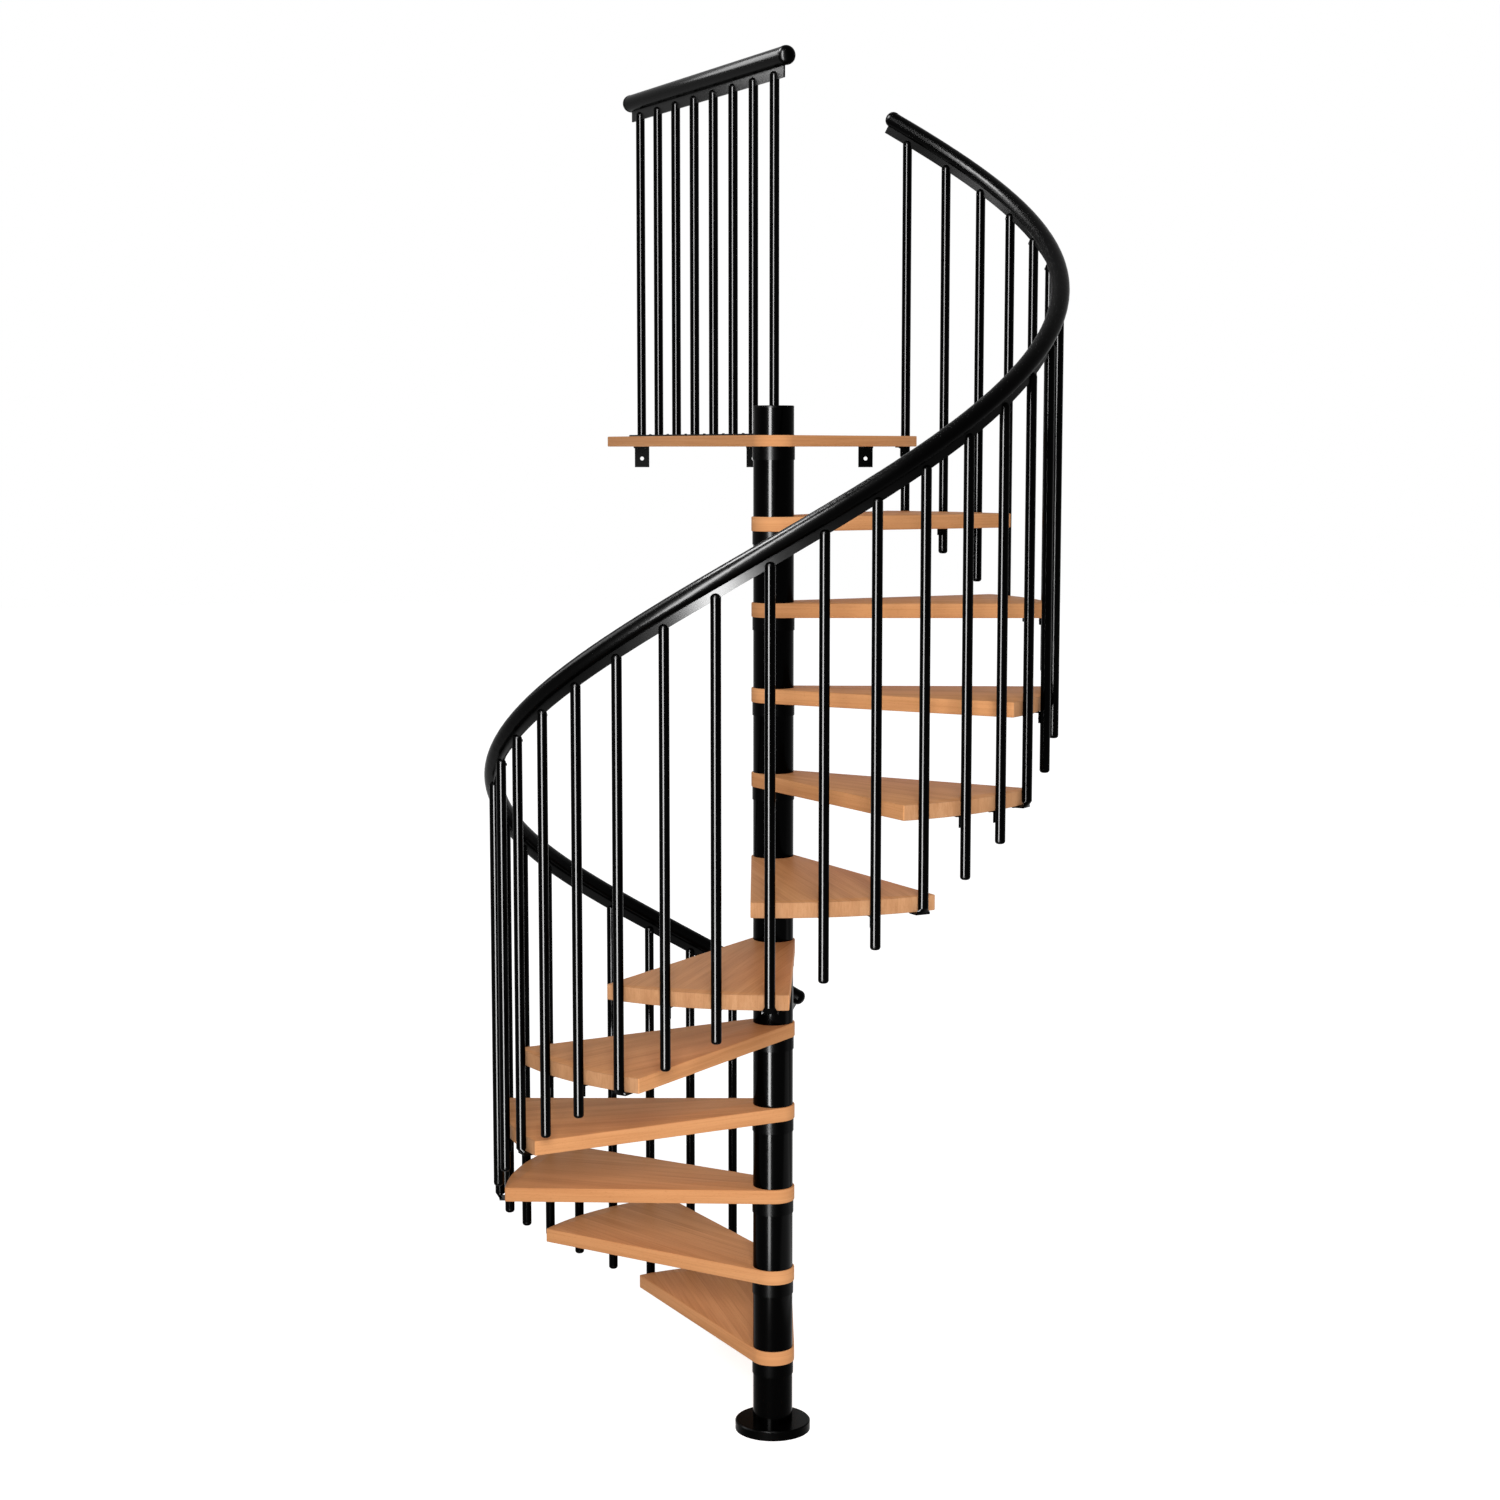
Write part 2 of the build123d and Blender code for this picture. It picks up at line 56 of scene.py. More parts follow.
nodes = frame["nodes"]

# Boards, as in the solid model: sizes in metres, turns in degrees
FIRST_RISE = 0.242
RISE = 0.235
STEP_TURN = 30.0
TREAD_COUNT = 11
TREAD_RADIUS = 0.755
TREAD_THICKNESS = 0.040
TREAD_LAP = 3.7
TREAD_CORNER = 0.004
HUB_RADIUS = 0.061
BORE_RADIUS = 0.0303
BOARD_TOP = 2.8135
BOARD_THICKNESS = 0.031
BOARD_BACK = 1.022
BOARD_LEFT_TURN = 24.5
BOARD_RIGHT_X = 0.386
BOARD_ARC_END = -22.0
BOARD_BACK_CORNER = 0.006
HALF_END_ANGLE = STEP_TURN / 2 + TREAD_LAP
FLARE = HALF_END_ANGLE - degrees(asin(HUB_RADIUS / TREAD_RADIUS))

# Eased edges and the number of straight pieces in the boards' curves
EDGE_ROUND = 0.0025
EDGE_STEPS = 3
CORNER_STEPS = 4
TREAD_ARC_STEPS = 36
LANDING_ARC_STEPS = 16
HUB_STEPS = 28
BORE_SIDES = 40
MITRE_LIMIT = 0.4
BOARD_SHARP = 40

# Railing sizes that the screws follow
TUBES_PER_STEP = 3
TUBE_RADIUS = 0.0135
TUBE_GAP = 0.0035
RAIL_CIRCLE = TREAD_RADIUS + TUBE_GAP + TUBE_RADIUS
TUBE_TOP = 1.0856
RAIL_SCREW_DROP = 0.017
BRACKET_GAP = 0.0003
BRACKET_THICKNESS = 0.003
BRACKET_FACE = RAIL_CIRCLE - TUBE_RADIUS - BRACKET_GAP - BRACKET_THICKNESS
BRACKET_SCREW_DROP = 0.018
FOOT_THICKNESS = 0.005
FOOT_SCREW_CIRCLE = 0.738
FOOT_SCREW_ASIDE = 0.009
FLOOR_BRACKET_SPACING = 0.349
FLOOR_BRACKET_THICKNESS = 0.005
FLOOR_SCREW_BACK = 0.028
FLOOR_SCREW_ASIDE = 0.011
LANDING_TUBES = 8
LANDING_TUBE_SPACING = 0.137
LANDING_FIRST_TUBE = 0.0765
LANDING_RAIL_TURN = 25.9
LANDING_RAIL_OFFSET = 0.0376
BASE_STRIP_THICKNESS = 0.005

# Screw heads: the profile and the hexagon socket are shares of the head's radius
HEAD_RADIUS = 0.0042
HEAD_PROFILE = ((1.0, 0.0), (1.0, 0.16), (0.88, 0.40), (0.62, 0.56))
HEAD_SIDES = 12
HEAD_SHARP = 50
SOCKET = 0.36
SOCKET_DEPTH = 0.14

# Wood: grain scales are per metre across the staves, along them and up
STAVE_WIDTH = 0.052
BROAD_GRAIN = (24.0, 1.3, 9.0)
FINE_GRAIN = (210.0, 4.0, 40.0)
FLECK_GRAIN = (900.0, 110.0, 300.0)
PLANK_SPREAD = 3.0
BOARD_KEY = 17.0
WOOD_SPECULAR = 0.02
VARNISH_ROUGHEST = 0.56
VARNISH_SMOOTHEST = 0.42
GRAIN_BUMP = 0.12
GRAIN_DEPTH = 0.0002

# How the grain moves on from board to board, and where a side counts as a sawn end
BOARD_SHIFT = 0.37 * STAVE_WIDTH
SIDE_START = 0.1 * STAVE_WIDTH
SIDE_SHIFT = 0.1
END_SLANT = 0.8
END_FROM = 2 * HUB_RADIUS
LANDING_NUMBER = 20

# Black finishes
GLOSS_SCALE = 9.0
GLOSS_SPREAD = 0.2

# Surroundings: the world's level on surfaces, and the floor
WORLD_LEVEL = 0.46
FLOOR_RADIUS = 40.0
FLOOR_SIDES = 96
FLOOR_COLOUR = (0.8, 0.8, 0.8, 1.0)
FLOOR_GLOW = (0.72, 0.72, 0.72, 1.0)

# The streak lamps share one place in front of the column, a little to the left
STREAK_TURN = -19
STREAK_DISTANCE = 3.0
STREAK_HEIGHT = 3.1
STREAK_TALL = 6.1
FOOT_STREAK_DISTANCE = 1.5
FOOT_STREAK_HEIGHT = 0.21

# The pieces that have lamps of their own
TUBES = ("straight_balusters", "bent_balusters", "first_baluster", "landing_balusters",
         "baluster_top_caps", "baluster_lower_caps", "landing_baluster_caps")
RAILS = ("handrail", "handrail_caps", "landing_handrail_caps")
LANDING_RAILS = ("landing_handrail", "landing_rail_strip")

# The photograph's camera
CAMERA_SPOT = (0.0775, -7.1573, 2.7807)
CAMERA_DOWN = 6.639
CAMERA_TURN = 1.138
CAMERA_LENS = 62.44
CAMERA_SENSOR = 36.0


# Shader helpers


def new_material(name):
    material = bpy.data.materials.new(name)
    material.use_nodes = True
    material.node_tree.nodes.clear()
    return material, material.node_tree.nodes, material.node_tree.links


def add(tree_nodes, kind, **settings):
    node = tree_nodes.new(kind)
    for key, value in settings.items():
        setattr(node, key, value)
    return node


def noise(tree_nodes, links, source, scale, detail):
    node = add(tree_nodes, "ShaderNodeTexNoise")
    node.inputs["Scale"].default_value = scale
    node.inputs["Detail"].default_value = detail
    links.new(source, node.inputs["Vector"])
    return node.outputs["Fac"]


def grain_noise(tree_nodes, links, source, scale, detail):
    """Noise drawn out along the staves."""
    stretched = add(tree_nodes, "ShaderNodeMapping")
    stretched.inputs["Scale"].default_value = scale
    links.new(source, stretched.inputs["Vector"])
    return noise(tree_nodes, links, stretched.outputs["Vector"], 1.0, detail)


def between(tree_nodes, links, source, low, high):
    """A socket's 0 to 1 carried over to low to high."""
    node = add(tree_nodes, "ShaderNodeMapRange")
    node.inputs["To Min"].default_value = low
    node.inputs["To Max"].default_value = high
    links.new(source, node.inputs["Value"])
    return node.outputs["Result"]


def ramp(tree_nodes, links, source, stops):
    node = add(tree_nodes, "ShaderNodeValToRGB")
    for element, (position, colour) in zip(node.color_ramp.elements, stops):
        element.position = position
        element.color = (*colour, 1.0)
    for position, colour in stops[2:]:
        node.color_ramp.elements.new(position).color = (*colour, 1.0)
    links.new(source, node.inputs["Fac"])
    return node.outputs["Color"]


def maths(tree_nodes, links, operation, first, second):
    """A sum on two values, each a socket or a number."""
    node = add(tree_nodes, "ShaderNodeMath", operation=operation)
    for socket, value in zip(node.inputs, (first, second)):
        if isinstance(value, (int, float)):
            socket.default_value = value
        else:
            links.new(value, socket)
    return node.outputs[0]


def multiplied(tree_nodes, links, first, second):
    """Two colours multiplied."""
    node = add(tree_nodes, "ShaderNodeMix", data_type="RGBA", blend_type="MULTIPLY")
    node.inputs["Factor"].default_value = 1.0
    links.new(first, node.inputs["A"])
    links.new(second, node.inputs["B"])
    return node.outputs["Result"]


def seen_rays(tree_nodes, links):
    """1 for rays from the camera, off gloss and through glass; 0 for those that carry light to a surface."""
    path = add(tree_nodes, "ShaderNodeLightPath").outputs
    seen = maths(tree_nodes, links, "MAXIMUM", path["Is Camera Ray"], path["Is Glossy Ray"])
    return maths(tree_nodes, links, "MAXIMUM", seen, path["Is Transmission Ray"])


def finish_material(tree_nodes, links, shader):
    output = add(tree_nodes, "ShaderNodeOutputMaterial")
    links.new(shader.outputs[0], output.inputs["Surface"])


# Materials


def gloss_black(name, roughness, specular):
    """Black powder coat or moulding with a slightly uneven gloss."""
    material, tree_nodes, links = new_material(name)
    place = add(tree_nodes, "ShaderNodeTexCoord").outputs["Object"]
    shader = add(tree_nodes, "ShaderNodeBsdfPrincipled")
    shader.inputs["Base Color"].default_value = (0.0, 0.0, 0.0, 1.0)
    shader.inputs["Specular IOR Level"].default_value = specular
    wear = noise(tree_nodes, links, place, GLOSS_SCALE, 4.0)
    spread = between(tree_nodes, links, wear, roughness * (1 - GLOSS_SPREAD), roughness * (1 + GLOSS_SPREAD))
    links.new(spread, shader.inputs["Roughness"])
    finish_material(tree_nodes, links, shader)
    return material


def beech(name):
    """Steamed beech staves glued side by side under a satin varnish.

    The attribute named grain gives metres across the staves, along them and up; board tells boards apart.
    The one named end is 1 on a board's sawn ends, where beech soaks up more varnish and turns darker.
    On a board's long sides grain runs along the edge, as the outermost stave does.
    """
    material, tree_nodes, links = new_material(name)
    place = add(tree_nodes, "ShaderNodeAttribute", attribute_name="grain").outputs["Vector"]
    board = add(tree_nodes, "ShaderNodeAttribute", attribute_name="board").outputs["Fac"]
    end = add(tree_nodes, "ShaderNodeAttribute", attribute_name="end").outputs["Fac"]
    apart = add(tree_nodes, "ShaderNodeSeparateXYZ")
    links.new(place, apart.inputs["Vector"])
    stave = maths(tree_nodes, links, "DIVIDE", apart.outputs["X"], STAVE_WIDTH)
    row = maths(tree_nodes, links, "FLOOR", stave, 0.0)
    row_key = maths(tree_nodes, links, "ADD", row, maths(tree_nodes, links, "MULTIPLY", board, BOARD_KEY))
    pick = add(tree_nodes, "ShaderNodeTexWhiteNoise", noise_dimensions="1D")
    links.new(row_key, pick.inputs["W"])

    # Each stave is cut from another part of a plank
    moved = add(tree_nodes, "ShaderNodeVectorMath", operation="MULTIPLY_ADD")
    links.new(pick.outputs["Color"], moved.inputs[0])
    moved.inputs[1].default_value = (PLANK_SPREAD, PLANK_SPREAD, PLANK_SPREAD)
    links.new(place, moved.inputs[2])
    plank = moved.outputs["Vector"]
    broad = grain_noise(tree_nodes, links, plank, BROAD_GRAIN, 3.0)
    fine = grain_noise(tree_nodes, links, plank, FINE_GRAIN, 3.0)
    fleck = grain_noise(tree_nodes, links, plank, FLECK_GRAIN, 1.0)

    colour = ramp(tree_nodes, links, broad, [
        (0.30, (0.602, 0.277, 0.115)),
        (0.50, (0.667, 0.316, 0.134)),
        (0.70, (0.717, 0.353, 0.156)),
    ])
    stripes = ramp(tree_nodes, links, fine, [
        (0.34, (0.91, 0.88, 0.85)),
        (0.56, (1.0, 1.0, 1.0)),
    ])
    end_grain = ramp(tree_nodes, links, end, [
        (0.0, (1.0, 1.0, 1.0)),
        (1.0, (0.78, 0.84, 0.96)),
    ])
    flecks = ramp(tree_nodes, links, fleck, [
        (0.30, (0.88, 0.84, 0.80)),
        (0.38, (1.0, 1.0, 1.0)),
    ])
    shade = ramp(tree_nodes, links, pick.outputs["Value"], [
        (0.0, (0.96, 0.95, 0.94)),
        (1.0, (1.04, 1.05, 1.06)),
    ])
    for layer in (stripes, end_grain, flecks, shade):
        colour = multiplied(tree_nodes, links, colour, layer)

    shader = add(tree_nodes, "ShaderNodeBsdfPrincipled")
    links.new(colour, shader.inputs["Base Color"])
    shader.inputs["Specular IOR Level"].default_value = WOOD_SPECULAR
    satin = between(tree_nodes, links, fine, VARNISH_ROUGHEST, VARNISH_SMOOTHEST)
    links.new(satin, shader.inputs["Roughness"])
    bump = add(tree_nodes, "ShaderNodeBump")
    bump.inputs["Strength"].default_value = GRAIN_BUMP
    bump.inputs["Distance"].default_value = GRAIN_DEPTH
    links.new(fine, bump.inputs["Height"])
    links.new(bump.outputs["Normal"], shader.inputs["Normal"])
    finish_material(tree_nodes, links, shader)
    return material


def paint(name, material):
    for slot in nodes[name].material_slots:
        slot.material = material


steel = gloss_black("black_coat", 0.15, 0.015)
tube_steel = gloss_black("black_tube", 0.14, 0.015)
bar_steel = gloss_black("black_bar", 0.30, 0.03)
bracket_steel = gloss_black("black_matt", 0.55, 0.003)
plastic = gloss_black("black_moulding", 0.25, 0.012)
wood = beech("beech")

slots = {"black_steel": steel, "black_plastic": plastic, "beech_wood": wood}
finishes = {
    "straight_balusters": tube_steel,
    "bent_balusters": tube_steel,
    "landing_balusters": tube_steel,
    "first_baluster": tube_steel,
    "handrail_strip": bar_steel,
    "landing_rail_strip": bar_steel,
    "floor_brackets": bracket_steel,
    "baluster_brackets": bracket_steel,
}
for subpart in frame["record"]["subparts"]:
    paint(subpart["node"], slots[subpart["material_slot"]])
for name, finish in finishes.items():
    paint(name, finish)


# Pieces of the scene's own


def save_piece(name, shape, material, sharp):
    """Makes a shape a still piece with a material; edges over the sharp angle stay crisp."""
    mesh = bpy.data.meshes.new(name)
    shape.to_mesh(mesh)
    shape.free()
    mesh.materials.append(material)
    mesh.shade_smooth()
    mesh.set_sharp_from_angle(angle=radians(sharp))
    piece = bpy.data.objects.new(name, mesh)
    bpy.context.scene.collection.objects.link(piece)
    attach(piece, "root")
    return piece


def join_rings(shape, rings):
    """Side faces between each ring of vertices and the next one up."""
    for lower, upper in zip(rings, rings[1:]):
        for n in range(len(lower)):
            m = (n + 1) % len(lower)
            shape.faces.new((lower[n], lower[m], upper[m], upper[n]))


# Wooden boards


def on_circle(radius, turn):
    return Vector((-radius * sin(radians(turn)), radius * cos(radians(turn))))


def on_hub(turn):
    """The point of the hub's circle where an edge that leaves at this turn touches it."""
    side = 1 if turn < 0 else -1
    return Vector((side * HUB_RADIUS * cos(radians(turn)), -HUB_RADIUS * sin(radians(abs(turn)))))


def arc(radius, start, end, steps):
    return [on_circle(radius, start + (end - start) * n / steps) for n in range(steps + 1)]


def hub_turn(point):
    return degrees(atan2(-point.x, point.y))


def hub_arc(start, end):
    """The hub's round front, from its left tangent point to its right one, by way of -Y."""
    return arc(HUB_RADIUS, hub_turn(start), hub_turn(end) + 360, HUB_STEPS)


def round_corners(points, radii):
    """Rounds the corners of an outline whose index is in radii."""
    made = []
    for index, point in enumerate(points):
        if index not in radii:
            made.append(point)
            continue
        before = (points[index - 1] - point).normalized()
        after = (points[(index + 1) % len(points)] - point).normalized()
        half = before.angle(after) / 2
        reach = radii[index] / tan(half)
        middle = point + (before + after).normalized() * radii[index] / sin(half)
        first = point + before * reach - middle
        last = point + after * reach - middle
        for step in range(CORNER_STEPS + 1):
            made.append(middle + first.lerp(last, step / CORNER_STEPS).normalized() * radii[index])
    return made


def inset(points, distance):
    """Moves a closed anticlockwise outline inwards."""
    made = []
    for index, point in enumerate(points):
        before = (point - points[index - 1]).normalized()
        after = (points[(index + 1) % len(points)] - point).normalized()
        normal = Vector((-before.y - after.y, before.x + after.x)).normalized()
        share = max(normal.dot(Vector((-before.y, before.x))), MITRE_LIMIT)
        made.append(point + normal * distance / share)
    return made


def lay_grain(shape, rings, number):
    """Writes each face's grain: through the wood on top, below and at the ends, along a long side's edge."""
    grain = shape.loops.layers.float_vector.new("grain")
    board = shape.faces.layers.float.new("board")
    end = shape.faces.layers.float.new("end")
    rim = {vertex for ring in rings for vertex in ring}
    shift = Vector((BOARD_SHIFT * number, 0, 0))
    shape.normal_update()
    for face in shape.faces:
        face[board] = number
        for loop in face.loops:
            loop[grain] = loop.vert.co + shift
        if not rim.issuperset(face.verts) or len(face.verts) != 4:
            continue
        middle = face.calc_center_median()
        along = face.normal.cross(Vector((0, 0, 1))).normalized()
        if abs(along.x) > END_SLANT and middle.xy.length > END_FROM:
            face[end] = 1.0
            continue
        for loop in face.loops:
            spot = loop.vert.co
            loop[grain] = Vector((SIDE_START + spot.z, spot.xy.length + SIDE_SHIFT * number, 0))


def edge_levels(thickness):
    """How far back and how high each ring of a board with eased edges stands, from the underside up."""
    levels = []
    for step in range(EDGE_STEPS + 1):
        angle = radians(90 * step / EDGE_STEPS)
        levels.append((EDGE_ROUND * (1 - sin(angle)), EDGE_ROUND * (1 - cos(angle))))
    return levels + [(back, thickness - up) for back, up in reversed(levels)]


def close_board(shape, ring, hole, facing):
    """The flat face between a board's rim and its bore, facing up (1) or down (-1)."""
    corners = ring + hole
    for triangle in tessellate_polygon([[v.co for v in ring], [v.co for v in hole]]):
        face = shape.faces.new([corners[n] for n in triangle])
        face.normal_update()
        if face.normal.z * facing < 0:
            face.normal_flip()


def make_board(name, outline, turn, low, thickness, number):
    """A board with eased edges and a bore, drawn towards +Y and then turned about the column."""
    if sum(a.x * b.y - b.x * a.y for a, b in zip(outline, outline[1:] + outline[:1])) < 0:
        outline = outline[::-1]
    bore = [on_circle(BORE_RADIUS, 360 * n / BORE_SIDES) for n in range(BORE_SIDES)]
    shape = bmesh.new()
    rings = [[shape.verts.new((*p, up)) for p in inset(outline, back)] for back, up in edge_levels(thickness)]
    join_rings(shape, rings)
    holes = [[shape.verts.new((*p, up)) for p in bore] for up in (0.0, thickness)]
    for n in range(len(bore)):
        m = (n + 1) % len(bore)
        shape.faces.new((holes[0][n], holes[1][n], holes[1][m], holes[0][m]))
    close_board(shape, rings[0], holes[0], -1)
    close_board(shape, rings[-1], holes[1], 1)
    lay_grain(shape, rings, number)
    shape.transform(Matrix.Translation((0, 0, low)) @ Matrix.Rotation(radians(turn), 4, "Z"))
    return save_piece(name, shape, wood, BOARD_SHARP)


def tread_outline():
    ends = arc(TREAD_RADIUS, -HALF_END_ANGLE, HALF_END_ANGLE, TREAD_ARC_STEPS)
    radii = {1: TREAD_CORNER, len(ends): TREAD_CORNER}
    edge = round_corners([on_hub(-FLARE)] + ends + [on_hub(FLARE)], radii)
    return edge + hub_arc(on_hub(FLARE), on_hub(-FLARE))[1:-1]


def landing_back_left():
    start = on_hub(BOARD_LEFT_TURN)
    return Vector((start.x - (BOARD_BACK - start.y) * tan(radians(BOARD_LEFT_TURN)), BOARD_BACK))


def landing_outline():
    right = on_hub(-(STEP_TURN / 2 + FLARE))
    left = on_hub(BOARD_LEFT_TURN)
    edge = arc(TREAD_RADIUS, -(STEP_TURN / 2 + HALF_END_ANGLE), BOARD_ARC_END, LANDING_ARC_STEPS)
    points = [right] + edge + [Vector((BOARD_RIGHT_X, BOARD_BACK)), landing_back_left(), left]
    last = len(edge)
    radii = {1: TREAD_CORNER, last + 1: BOARD_BACK_CORNER, last + 2: BOARD_BACK_CORNER}
    return round_corners(points, radii) + hub_arc(left, right)[1:-1]


def tread_underside(step):
    return FIRST_RISE + RISE * (step - 1) - TREAD_THICKNESS


def make_boards():
    outline = tread_outline()
    for step in range(1, TREAD_COUNT + 1):
        turn = STEP_TURN * (step - 0.5)
        tread = make_board(f"board_{step:02d}", outline, turn, tread_underside(step), TREAD_THICKNESS, step)
        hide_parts(f"tread_{step:02d}")
    low = BOARD_TOP - BOARD_THICKNESS
    landing = make_board("board_landing", landing_outline(), 0.0, low, BOARD_THICKNESS, LANDING_NUMBER)
    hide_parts("landing_board")


make_boards()


# Screws, all with a low round head and a hexagon socket


def screw_ring(shape, place, radius, height):
    made = []
    for n in range(HEAD_SIDES):
        angle = radians(360 * n / HEAD_SIDES)
        made.append(shape.verts.new(place @ Vector((radius * cos(angle), radius * sin(angle), height))))
    return made


def add_screw(shape, spot, outward):
    """One head that stands on its seat at spot and points outward."""
    turn = Vector(outward).to_track_quat("Z", "Y").to_matrix().to_4x4()
    place = Matrix.Translation(spot) @ turn
    profile = HEAD_PROFILE + ((SOCKET, HEAD_PROFILE[-1][1]), (SOCKET, SOCKET_DEPTH))
    rings = [screw_ring(shape, place, HEAD_RADIUS * wide, HEAD_RADIUS * high) for wide, high in profile]
    join_rings(shape, rings)
    shape.faces.new(rings[-1])
    shape.faces.new(rings[0][::-1])


def save_screws(name, spots):
    shape = bmesh.new()
    for spot, outward in spots:
        add_screw(shape, spot, outward)
    save_piece(name, shape, steel, HEAD_SHARP)


def turned_spot(turn, aside, out, height):
    """A point drawn beside the +Y line and turned about the column, with the direction to the column."""
    about = Matrix.Rotation(radians(turn), 4, "Z")
    return about @ Vector((aside, out, height)), about @ Vector((0, -1, 0))


def climb(turn):
    return FIRST_RISE - RISE + RISE * turn / STEP_TURN


def make_stair_screws():
    """Screws at the handrail's bar, in the small brackets and in the folded feet."""
    down = (0, 0, -1)
    rail, uprights, flats, feet = [], [], [], []
    for number in range(TREAD_COUNT * TUBES_PER_STEP + 1):
        turn = STEP_TURN / TUBES_PER_STEP * number
        step = number // TUBES_PER_STEP
        high = climb(turn) + TUBE_TOP - RAIL_SCREW_DROP
        rail.append(turned_spot(turn, 0, RAIL_CIRCLE - TUBE_RADIUS, high))
        last = number == TREAD_COUNT * TUBES_PER_STEP
        if number % TUBES_PER_STEP == 0 and number > 0:
            low = tread_underside(step) - FOOT_THICKNESS
            for side in (-1, 1):
                feet.append((turned_spot(turn, side * FOOT_SCREW_ASIDE, FOOT_SCREW_CIRCLE, low)[0], down))
        if number % TUBES_PER_STEP or last:
            under = BOARD_TOP - BOARD_THICKNESS if last else tread_underside(step + 1)
            uprights.append(turned_spot(turn, 0, BRACKET_FACE, under - BRACKET_SCREW_DROP))
            flats.append((turned_spot(turn, 0, FOOT_SCREW_CIRCLE, under - BRACKET_THICKNESS)[0], down))
    save_screws("rail_screws", rail)
    save_screws("bracket_tube_screws", uprights)
    save_screws("bracket_wood_screws", flats)
    save_screws("foot_screws", feet)


def make_landing_screws():
    """Screws in the brackets at the landing's back edge and in its railing's base strip."""
    centre = (landing_back_left().x + BOARD_RIGHT_X) / 2
    low = BOARD_TOP - BOARD_THICKNESS - FLOOR_BRACKET_THICKNESS
    floor_screws = []
    for n in (-1, 0, 1):
        for side in (-1, 1):
            across = centre + n * FLOOR_BRACKET_SPACING + side * FLOOR_SCREW_ASIDE
            floor_screws.append((Vector((across, BOARD_BACK - FLOOR_SCREW_BACK, low)), (0, 0, -1)))
    save_screws("floor_bracket_screws", floor_screws)

    strip_screws = []
    for n in range(LANDING_TUBES - 1):
        along = LANDING_FIRST_TUBE + LANDING_TUBE_SPACING * (n + 0.5)
        spot = turned_spot(LANDING_RAIL_TURN, LANDING_RAIL_OFFSET, along, BOARD_TOP + BASE_STRIP_THICKNESS)[0]
        strip_screws.append((spot, (0, 0, 1)))
    save_screws("base_strip_screws", strip_screws)


make_stair_screws()
make_landing_screws()


# Floor and world


def make_floor():
    """A pale floor that looks white and takes the object's shadow."""
    material, tree_nodes, links = new_material("floor_white")
    glow = add(tree_nodes, "ShaderNodeEmission")
    glow.inputs["Color"].default_value = FLOOR_GLOW
    links.new(seen_rays(tree_nodes, links), glow.inputs["Strength"])
    matt = add(tree_nodes, "ShaderNodeBsdfDiffuse")
    matt.inputs["Color"].default_value = FLOOR_COLOUR
    both = add(tree_nodes, "ShaderNodeAddShader")
    links.new(glow.outputs[0], both.inputs[0])
    links.new(matt.outputs[0], both.inputs[1])
    finish_material(tree_nodes, links, both)

    mesh = bpy.data.meshes.new("floor")
    shape = bmesh.new()
    bmesh.ops.create_circle(shape, cap_ends=True, segments=FLOOR_SIDES, radius=FLOOR_RADIUS)
    shape.to_mesh(mesh)
    shape.free()
    mesh.materials.append(material)
    floor = bpy.data.objects.new("floor", mesh)
    bpy.context.scene.collection.objects.link(floor)


def make_world():
    """Plain soft light, white where it is seen."""
    world = bpy.data.worlds.new("studio")
    world.use_nodes = True
    bpy.context.scene.world = world
    tree_nodes = world.node_tree.nodes
    links = world.node_tree.links
    tree_nodes.clear()
    level = between(tree_nodes, links, seen_rays(tree_nodes, links), WORLD_LEVEL, 1.0)
    sky = add(tree_nodes, "ShaderNodeBackground")
    sky.inputs["Color"].default_value = (1.0, 1.0, 1.0, 1.0)
    links.new(level, sky.inputs["Strength"])
    output = add(tree_nodes, "ShaderNodeOutputWorld")
    links.new(sky.outputs[0], output.inputs["Surface"])


make_floor()
make_world()


# Lamps


def light_groups():
    """The balusters, the stair's rail, the landing's, the other black pieces, and the wood with the floor."""
    tubes = [nodes[name] for name in TUBES]
    rails = [nodes[name] for name in RAILS]
    landing_rails = [nodes[name] for name in LANDING_RAILS]
    others, pale = [], []
    for item in bpy.context.scene.objects:
        if item.type != "MESH" or item in tubes + rails + landing_rails:
            continue
        finish = item.material_slots[0].material
        group = others if finish in (steel, bar_steel, bracket_steel, plastic) else pale
        group.append(item)
    return tubes, rails, landing_rails, others, pale


def around(turn, distance, height):
    """A place at a turn to the right of the camera's direction from the column."""
    return Vector((distance * sin(radians(turn)), -distance * cos(radians(turn)), height))


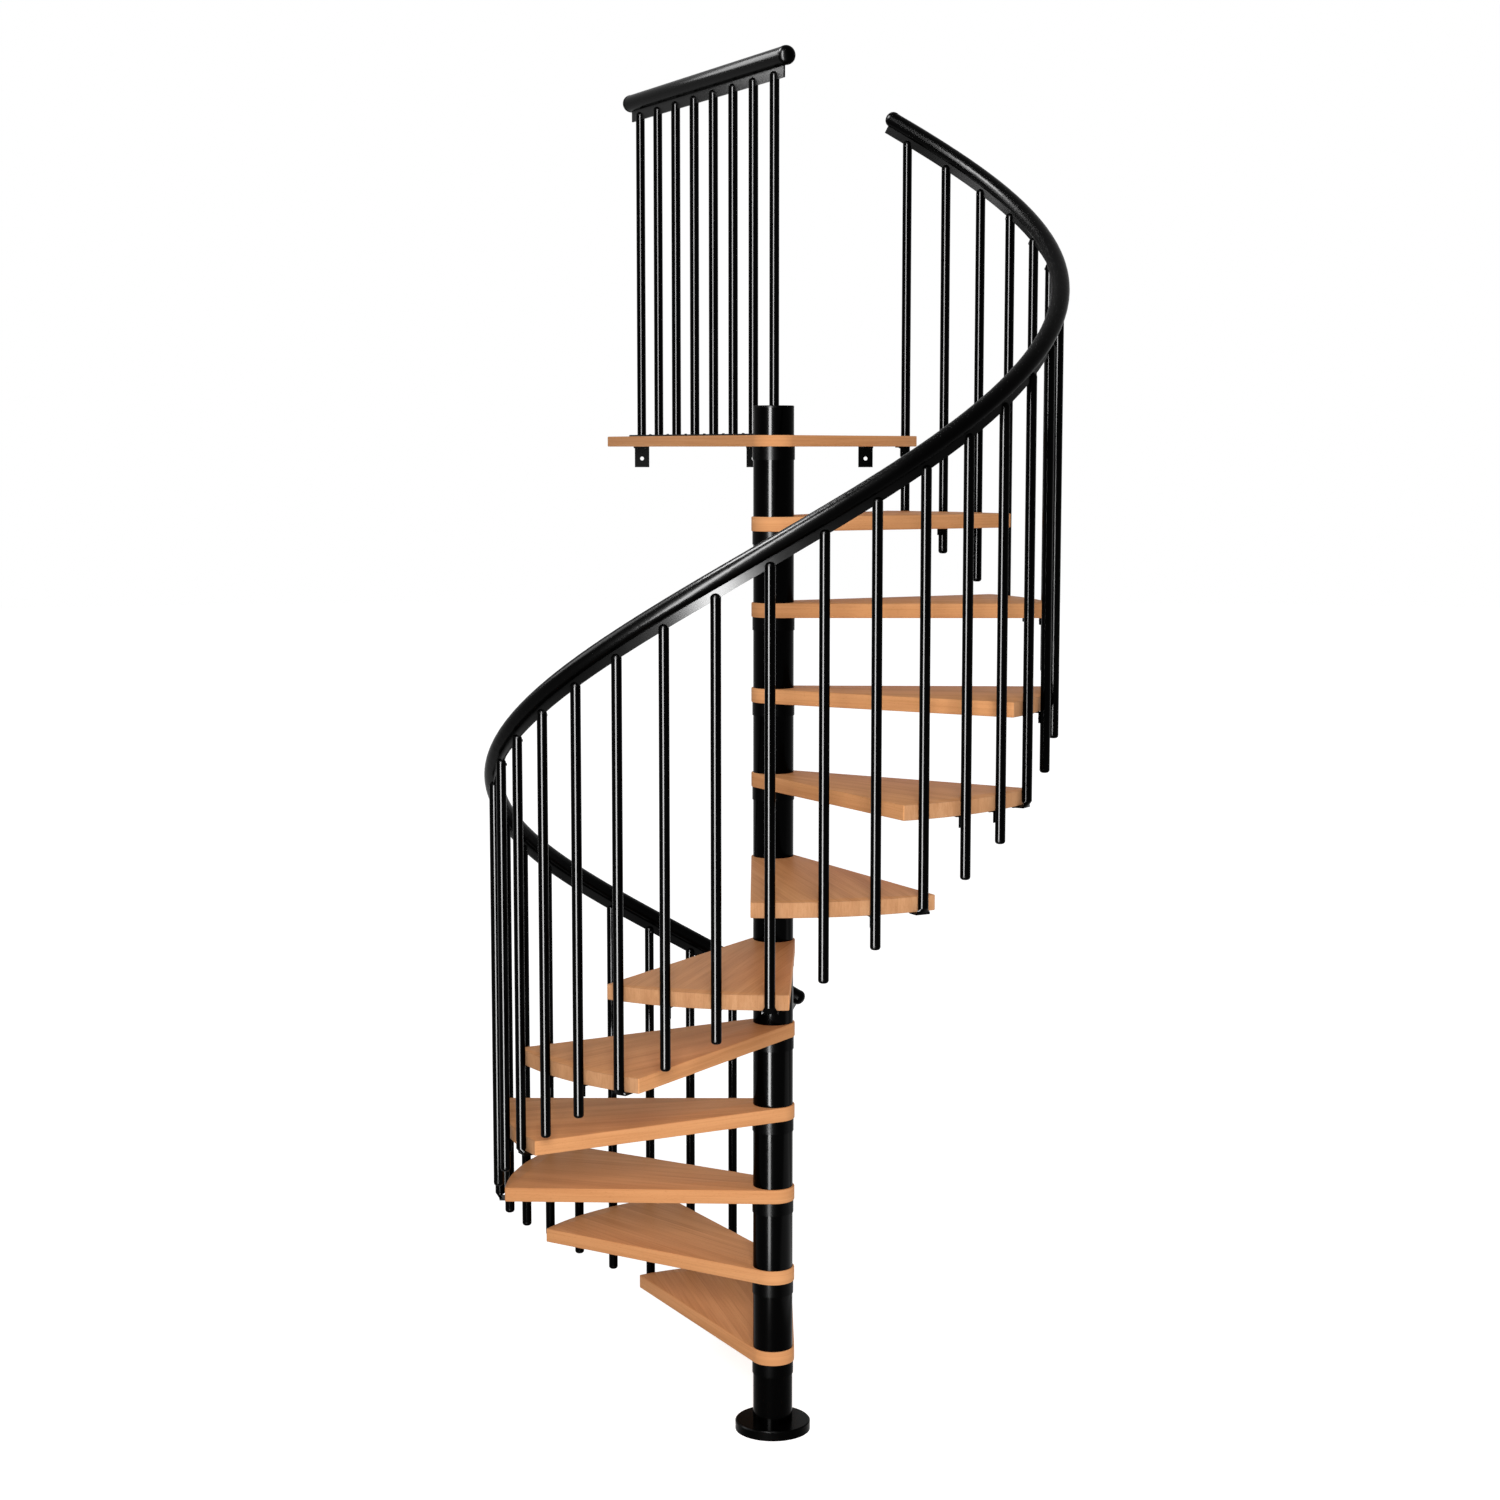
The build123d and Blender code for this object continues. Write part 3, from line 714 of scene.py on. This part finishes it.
def lamp(name, spot, target, width, tall, watts, lit):
    """A soft panel kept to some pieces: plain light on the wood, or a gloss on the black ones."""
    data = bpy.data.lights.new(name, "AREA")
    data.shape = "RECTANGLE"
    data.size = width
    data.size_y = tall
    data.energy = watts
    made = bpy.data.objects.new(name, data)
    made.location = spot
    made.rotation_euler = (target - spot).to_track_quat("-Z", "Y").to_euler()
    made.visible_camera = False
    made.visible_diffuse = lit is pale
    made.visible_glossy = lit is not pale
    bpy.context.scene.collection.objects.link(made)
    receivers = bpy.data.collections.new(name + "_receivers")
    for item in lit:
        receivers.objects.link(item)
    made.light_linking.receiver_collection = receivers


def streak(name, width, watts, lit):
    """A tall narrow panel that gives upright black pieces a light line."""
    spot = around(STREAK_TURN, STREAK_DISTANCE, STREAK_HEIGHT)
    lamp(name, spot, Vector((0, 0, STREAK_HEIGHT)), width, STREAK_TALL, watts, lit)


tubes, rails, landing_rails, others, pale = light_groups()
both_rails = rails + landing_rails
foot_spot = around(STREAK_TURN, FOOT_STREAK_DISTANCE, FOOT_STREAK_HEIGHT)

lamp("key", around(2, 11.0, 5.2), Vector((0, 0, 1.9)), 3.0, 3.0, 1010, pale)
streak("streak", 0.70, 7600, others)
streak("tube_streak", 0.90, 9800, tubes)
streak("rail_streak", 0.70, 9500, rails)
lamp("streak_foot", foot_spot, Vector((0, 0, FOOT_STREAK_HEIGHT)), 0.35, 0.38, 90, others)
lamp("top_left", Vector((-2.2, 0.1, 5.7)), Vector((0, -0.7, 2.4)), 1.3, 1.3, 2000, both_rails)
lamp("left_panel", around(-100, 8.0, 6.2), Vector((0, 0, 3.4)), 5.0, 5.0, 2400, rails + others)
lamp("floor_card", Vector((5.0, 0, 0.01)), Vector((5.0, 0, 5.0)), 8.0, 2.4, 190, others)
lamp("back_left", Vector((-0.62, 0.68, 4.10)), Vector((-0.02, 0.12, 3.9)), 0.30, 0.35, 8, both_rails)


# Camera


def make_camera():
    data = bpy.data.cameras.new("camera")
    data.lens = CAMERA_LENS
    data.sensor_width = CAMERA_SENSOR
    camera = bpy.data.objects.new("camera", data)
    camera.location = CAMERA_SPOT
    camera.rotation_euler = (radians(90 - CAMERA_DOWN), 0.0, radians(CAMERA_TURN))
    bpy.context.scene.collection.objects.link(camera)
    bpy.context.scene.camera = camera
    bpy.context.scene.view_settings.view_transform = "Standard"


make_camera()
